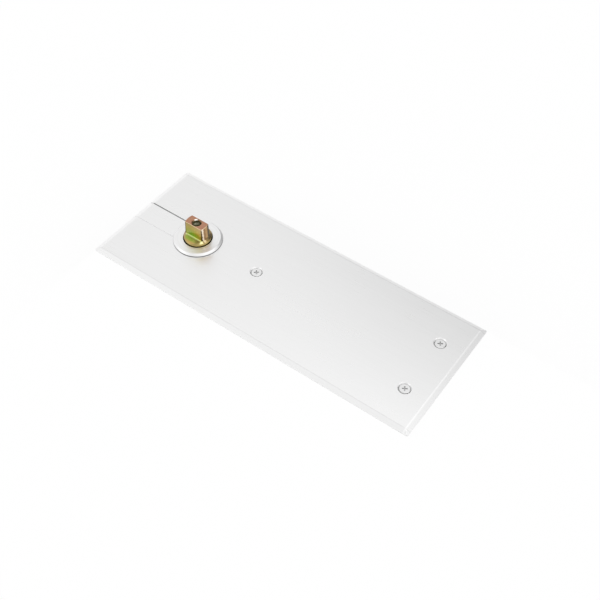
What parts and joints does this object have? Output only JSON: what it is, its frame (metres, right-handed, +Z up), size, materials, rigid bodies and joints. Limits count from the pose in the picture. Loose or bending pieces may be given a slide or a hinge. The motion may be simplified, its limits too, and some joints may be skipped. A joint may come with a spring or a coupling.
{
  "type": "floor spring door closer",
  "caption": "Hydraulic door closer set in the floor: bevelled cover plate over a cement box, with a flat-sided spindle that carries the door's lower arm.",
  "frame": {"origin": "on the spindle's axis, at the underside of the cement box", "axes": "+X along the cover towards its near end beside the spindle, +Z up along the spindle towards the door"},
  "size_m": [0.302, 0.118, 0.0797],
  "materials": {
    "cover_steel": "satin stainless, fine brushing along the plate",
    "ring_steel": "turned stainless, bright edge",
    "screw_steel": "satin stainless",
    "box_steel": "galvanised sheet",
    "zinc_steel": "bright zinc plate",
    "casting": "cast iron under grey paint",
    "dark_steel": "hardened and oiled steel",
    "bearing_steel": "ground steel",
    "chromate_steel": "yellow chromate over zinc",
    "bronze": "machined brass",
    "rubber": "matt black"
  },
  "bodies": {
    "closer": {"cover_plate": "cover_steel", "cover_filler": "cover_steel", "spindle_ring": "ring_steel", "cover_screws": "screw_steel", "cement_box": "box_steel", "cover_brackets": "zinc_steel", "bracket_nuts": "zinc_steel", "housing": "casting", "housing_lid": "casting", "lid_gasket": "rubber", "lid_screws": "dark_steel", "oil_plug": "zinc_steel", "gallery_plugs": "dark_steel", "levelling_screws": "dark_steel", "holding_studs": "zinc_steel", "holding_washers": "zinc_steel", "holding_nuts": "zinc_steel", "end_cap": "zinc_steel", "end_cap_seal": "rubber", "spindle_seal": "rubber", "upper_outer_race": "bearing_steel", "lower_outer_race": "bearing_steel", "main_spring": "dark_steel"},
    "spindle_shaft": {"spindle": "chromate_steel", "heart_cam": "dark_steel", "cam_key": "dark_steel", "upper_spacer": "bearing_steel", "lower_spacer": "bearing_steel", "upper_inner_race": "bearing_steel", "lower_inner_race": "bearing_steel"},
    "slide": {"upper_slide_plate": "bearing_steel", "lower_slide_plate": "bearing_steel", "roller_pins": "dark_steel", "piston": "bearing_steel", "piston_pin": "dark_steel", "piston_rings": "rubber", "check_retainer": "dark_steel"},
    "front_roller_body": {"front_roller": "bearing_steel"},
    "rear_roller_body": {"rear_roller": "bearing_steel"},
    "upper_cage_body": {"upper_balls": "bearing_steel", "upper_ball_cage": "bronze"},
    "lower_cage_body": {"lower_balls": "bearing_steel", "lower_ball_cage": "bronze"},
    "check_ball_body": {"check_ball": "bearing_steel"},
    "closing_valve_body": {"closing_valve": "bronze", "closing_valve_seal": "rubber"},
    "latching_valve_body": {"latching_valve": "bronze", "latching_valve_seal": "rubber"}
  },
  "joints": [
    {"name": "spindle_turn", "type": "hinge", "parent": "closer", "child": "spindle_shaft", "pos_m": [0, 0, 0.058], "axis": [0, 0, 1], "range_deg": [0, 120], "stiffness_Nm_per_rad": 0.3, "springref_deg": -11.46},
    {"name": "slide_travel", "type": "slide", "parent": "closer", "child": "slide", "axis": [-1, 0, 0], "range_m": [0, 0.01152], "deforming": ["main_spring"]},
    {"name": "front_roller_turn", "type": "hinge", "parent": "slide", "child": "front_roller_body", "pos_m": [-0.019, 0, 0.0275], "axis": [0, 0, 1], "continuous": true},
    {"name": "rear_roller_turn", "type": "hinge", "parent": "slide", "child": "rear_roller_body", "pos_m": [0.03628, 0, 0.0275], "axis": [0, 0, 1], "continuous": true},
    {"name": "upper_cage_turn", "type": "hinge", "parent": "closer", "child": "upper_cage_body", "pos_m": [0, 0, 0.0435], "axis": [0, 0, 1], "continuous": true},
    {"name": "lower_cage_turn", "type": "hinge", "parent": "closer", "child": "lower_cage_body", "pos_m": [0, 0, 0.0125], "axis": [0, 0, 1], "continuous": true},
    {"name": "check_ball_lift", "type": "slide", "parent": "slide", "child": "check_ball_body", "axis": [1, 0, 0], "range_m": [0, 0.0008]},
    {"name": "closing_valve_turn", "type": "hinge", "parent": "closer", "child": "closing_valve_body", "pos_m": [-0.1785, 0.0245, 0.052], "axis": [0, 0, 1], "range_deg": [-180, 360]},
    {"name": "latching_valve_turn", "type": "hinge", "parent": "closer", "child": "latching_valve_body", "pos_m": [-0.1785, -0.0245, 0.052], "axis": [0, 0, 1], "range_deg": [-180, 360]}
  ],
  "couplings": [
    {"joint": "slide_travel", "follows": "spindle_turn", "m_per_rad": 0.0055},
    {"joint": "front_roller_turn", "follows": "spindle_turn", "ratio": -2.5},
    {"joint": "rear_roller_turn", "follows": "spindle_turn", "ratio": -3.4},
    {"joint": "upper_cage_turn", "follows": "spindle_turn", "ratio": 0.3952},
    {"joint": "lower_cage_turn", "follows": "spindle_turn", "ratio": 0.3942}
  ]
}
